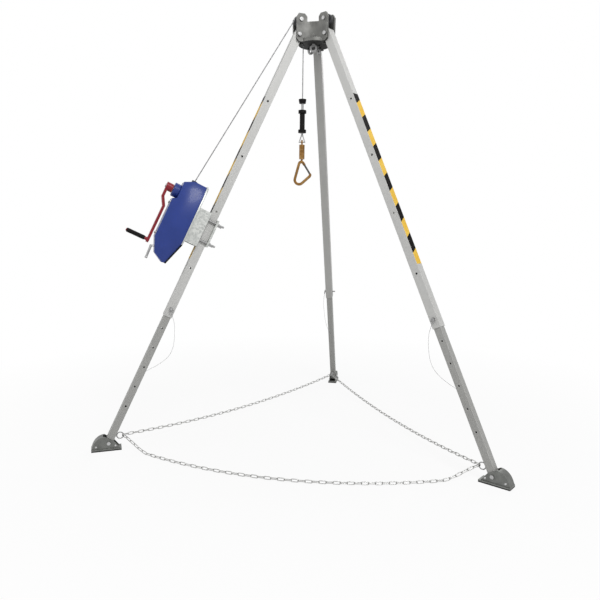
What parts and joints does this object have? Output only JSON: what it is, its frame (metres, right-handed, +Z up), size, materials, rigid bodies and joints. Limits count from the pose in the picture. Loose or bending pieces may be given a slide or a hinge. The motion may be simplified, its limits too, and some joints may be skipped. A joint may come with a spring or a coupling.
{
  "type": "rescue tripod",
  "caption": "Telescopic aluminium rescue tripod with folding legs, tilting feet, chain ties, head sheaves and a crank winch whose steel cable carries a swivel snap hook.",
  "frame": {"origin": "centre of the box round the feet and the slack front chain, on the floor", "axes": "+Z up, +Y towards the back leg, +X to the right seen from the front"},
  "size_m": [1.8882, 1.7471, 2.057],
  "materials": {
    "aluminium": "satin",
    "steel": "zinc plated",
    "nylon": "matte",
    "rubber": "matte",
    "blue_paint": "gloss",
    "black_paint": "satin",
    "red_paint": "gloss",
    "yellow_zinc": "satin"
  },
  "bodies": {
    "head": {"head_casting": "aluminium", "leg_pivot_bolts": "steel", "sheave_axles": "steel", "anchor_eyes": "steel", "cable_turn": "steel", "chain_front": "steel", "chain_left": "steel", "chain_right": "steel"},
    "sheave_left": {"sheave_left": "nylon"},
    "leg_left": {"upper_tube_left": "aluminium", "winch_bracket": "steel", "clamp_bar": "steel", "clamp_studs": "steel", "winch_back_plate": "black_paint", "winch_housing": "blue_paint", "housing_screws": "steel", "shaft_bearing": "blue_paint", "cable_guide": "nylon", "carry_handle": "steel", "gear_axles": "steel", "cable_run": "steel"},
    "lower_leg_left": {"lower_tube_left": "aluminium", "chain_eye_left": "steel", "lanyard_left": "steel"},
    "foot_left": {"foot_left": "steel", "sole_left": "rubber", "ankle_bolt_left": "steel"},
    "lock_pin_left": {"lock_pin_left": "steel"},
    "sheave_right": {"sheave_right": "nylon"},
    "leg_right": {"upper_tube_right": "aluminium"},
    "lower_leg_right": {"lower_tube_right": "aluminium", "chain_eye_right": "steel", "lanyard_right": "steel"},
    "foot_right": {"foot_right": "steel", "sole_right": "rubber", "ankle_bolt_right": "steel"},
    "lock_pin_right": {"lock_pin_right": "steel"},
    "sheave_back": {"sheave_back": "nylon"},
    "leg_back": {"upper_tube_back": "aluminium"},
    "lower_leg_back": {"lower_tube_back": "aluminium", "chain_eye_back": "steel", "lanyard_back": "steel"},
    "foot_back": {"foot_back": "steel", "sole_back": "rubber", "ankle_bolt_back": "steel"},
    "lock_pin_back": {"lock_pin_back": "steel"},
    "drum": {"cable_drum": "steel", "cable_winding": "steel"},
    "idler": {"idler_gear": "steel"},
    "crank": {"crank_shaft": "steel", "crank_arm": "red_paint"},
    "grip": {"crank_grip": "rubber"},
    "line": {"cable_drop": "steel", "stop_cup": "rubber", "ferrule": "aluminium", "line_grip": "rubber", "triangle_link": "steel", "swivel": "yellow_zinc"},
    "hook": {"hook_body": "yellow_zinc"},
    "gate": {"hook_gate": "steel"}
  },
  "joints": [
    {"name": "leg_fold_left", "type": "hinge", "parent": "head", "child": "leg_left", "pos_m": [-0.07689, -0.24535, 1.96021], "axis": [0.5, -0.866, 0], "range_deg": [0, 20], "deforming": ["chain_front", "chain_left", "lanyard_left", "cable_run"]},
    {"name": "leg_slide_left", "type": "slide", "parent": "leg_left", "child": "lower_leg_left", "axis": [-0.3698, -0.2135, -0.9042], "range_m": [0, 0.3], "deforming": ["chain_front", "chain_left", "lanyard_left"]},
    {"name": "pin_pull_left", "type": "slide", "parent": "leg_left", "child": "lock_pin_left", "axis": [0.5, -0.866, 0], "range_m": [0, 0.07], "deforming": ["lanyard_left"]},
    {"name": "foot_tilt_left", "type": "hinge", "parent": "lower_leg_left", "child": "foot_left", "pos_m": [-0.86389, -0.69973, 0.036], "axis": [0.5, -0.866, 0], "range_deg": [-20, 20]},
    {"name": "sheave_spin_left", "type": "hinge", "parent": "head", "child": "sheave_left", "pos_m": [-0.06928, -0.24096, 2.03], "axis": [0.5, -0.866, 0], "range_deg": [-270, 2610]},
    {"name": "leg_fold_right", "type": "hinge", "parent": "head", "child": "leg_right", "pos_m": [0.07689, -0.24535, 1.96021], "axis": [0.5, 0.866, 0], "range_deg": [0, 25], "deforming": ["chain_front", "chain_right", "lanyard_right"]},
    {"name": "leg_slide_right", "type": "slide", "parent": "leg_right", "child": "lower_leg_right", "axis": [0.3698, -0.2135, -0.9042], "range_m": [0, 0.3], "deforming": ["chain_front", "chain_right", "lanyard_right"]},
    {"name": "pin_pull_right", "type": "slide", "parent": "leg_right", "child": "lock_pin_right", "axis": [-0.5, -0.866, 0], "range_m": [0, 0.07], "deforming": ["lanyard_right"]},
    {"name": "foot_tilt_right", "type": "hinge", "parent": "lower_leg_right", "child": "foot_right", "pos_m": [0.86389, -0.69973, 0.036], "axis": [0.5, 0.866, 0], "range_deg": [-20, 20]},
    {"name": "sheave_spin_right", "type": "hinge", "parent": "head", "child": "sheave_right", "pos_m": [0.06928, -0.24096, 2.03], "axis": [0.5, 0.866, 0], "continuous": true},
    {"name": "leg_fold_back", "type": "hinge", "parent": "head", "child": "leg_back", "pos_m": [0, -0.11217, 1.96021], "axis": [-1, 0, 0], "range_deg": [0, 25], "deforming": ["chain_left", "chain_right", "lanyard_back"]},
    {"name": "leg_slide_back", "type": "slide", "parent": "leg_back", "child": "lower_leg_back", "axis": [0, 0.427, -0.9042], "range_m": [0, 0.3], "deforming": ["chain_left", "chain_right", "lanyard_back"]},
    {"name": "pin_pull_back", "type": "slide", "parent": "leg_back", "child": "lock_pin_back", "axis": [-1, 0, 0], "range_m": [0, 0.07], "deforming": ["lanyard_back"]},
    {"name": "foot_tilt_back", "type": "hinge", "parent": "lower_leg_back", "child": "foot_back", "pos_m": [0, 0.79658, 0.036], "axis": [-1, 0, 0], "range_deg": [-20, 20]},
    {"name": "sheave_spin_back", "type": "hinge", "parent": "head", "child": "sheave_back", "pos_m": [0, -0.12095, 2.03], "axis": [-1, 0, 0], "continuous": true},
    {"name": "hoist", "type": "slide", "parent": "head", "child": "line", "axis": [0, 0, 1], "range_m": [-1, 0.1], "deforming": ["cable_drop"]},
    {"name": "drum_turn", "type": "hinge", "parent": "leg_left", "child": "drum", "pos_m": [-0.55947, -0.52397, 1.01683], "axis": [-0.7831, -0.4521, 0.427], "range_deg": [-1500, 160]},
    {"name": "idler_turn", "type": "hinge", "parent": "leg_left", "child": "idler", "pos_m": [-0.52249, -0.50261, 1.10725], "axis": [-0.7831, -0.4521, 0.427], "range_deg": [-240, 2240]},
    {"name": "crank_turn", "type": "hinge", "parent": "leg_left", "child": "crank", "pos_m": [-0.57782, -0.53456, 1.20378], "axis": [-0.7831, -0.4521, 0.427], "range_deg": [-4480, 460]},
    {"name": "grip_spin", "type": "hinge", "parent": "crank", "child": "grip", "pos_m": [-0.74054, -0.62851, 1.00498], "axis": [-0.7831, -0.4521, 0.427], "continuous": true},
    {"name": "hook_swivel", "type": "hinge", "parent": "line", "child": "hook", "pos_m": [-0.05023, -0.22995, 1.36], "axis": [0, 0, 1], "continuous": true},
    {"name": "gate_swing", "type": "hinge", "parent": "hook", "child": "gate", "pos_m": [-0.04185, -0.22854, 1.362], "axis": [-0.1668, 0.986, 0], "range_deg": [0, 26], "stiffness_Nm_per_rad": 0.05}
  ],
  "couplings": [
    {"joint": "drum_turn", "follows": "hoist", "rad_per_m": 25.974},
    {"joint": "idler_turn", "follows": "hoist", "rad_per_m": -38.961},
    {"joint": "crank_turn", "follows": "hoist", "rad_per_m": 77.922},
    {"joint": "sheave_spin_left", "follows": "hoist", "rad_per_m": -45.455}
  ]
}
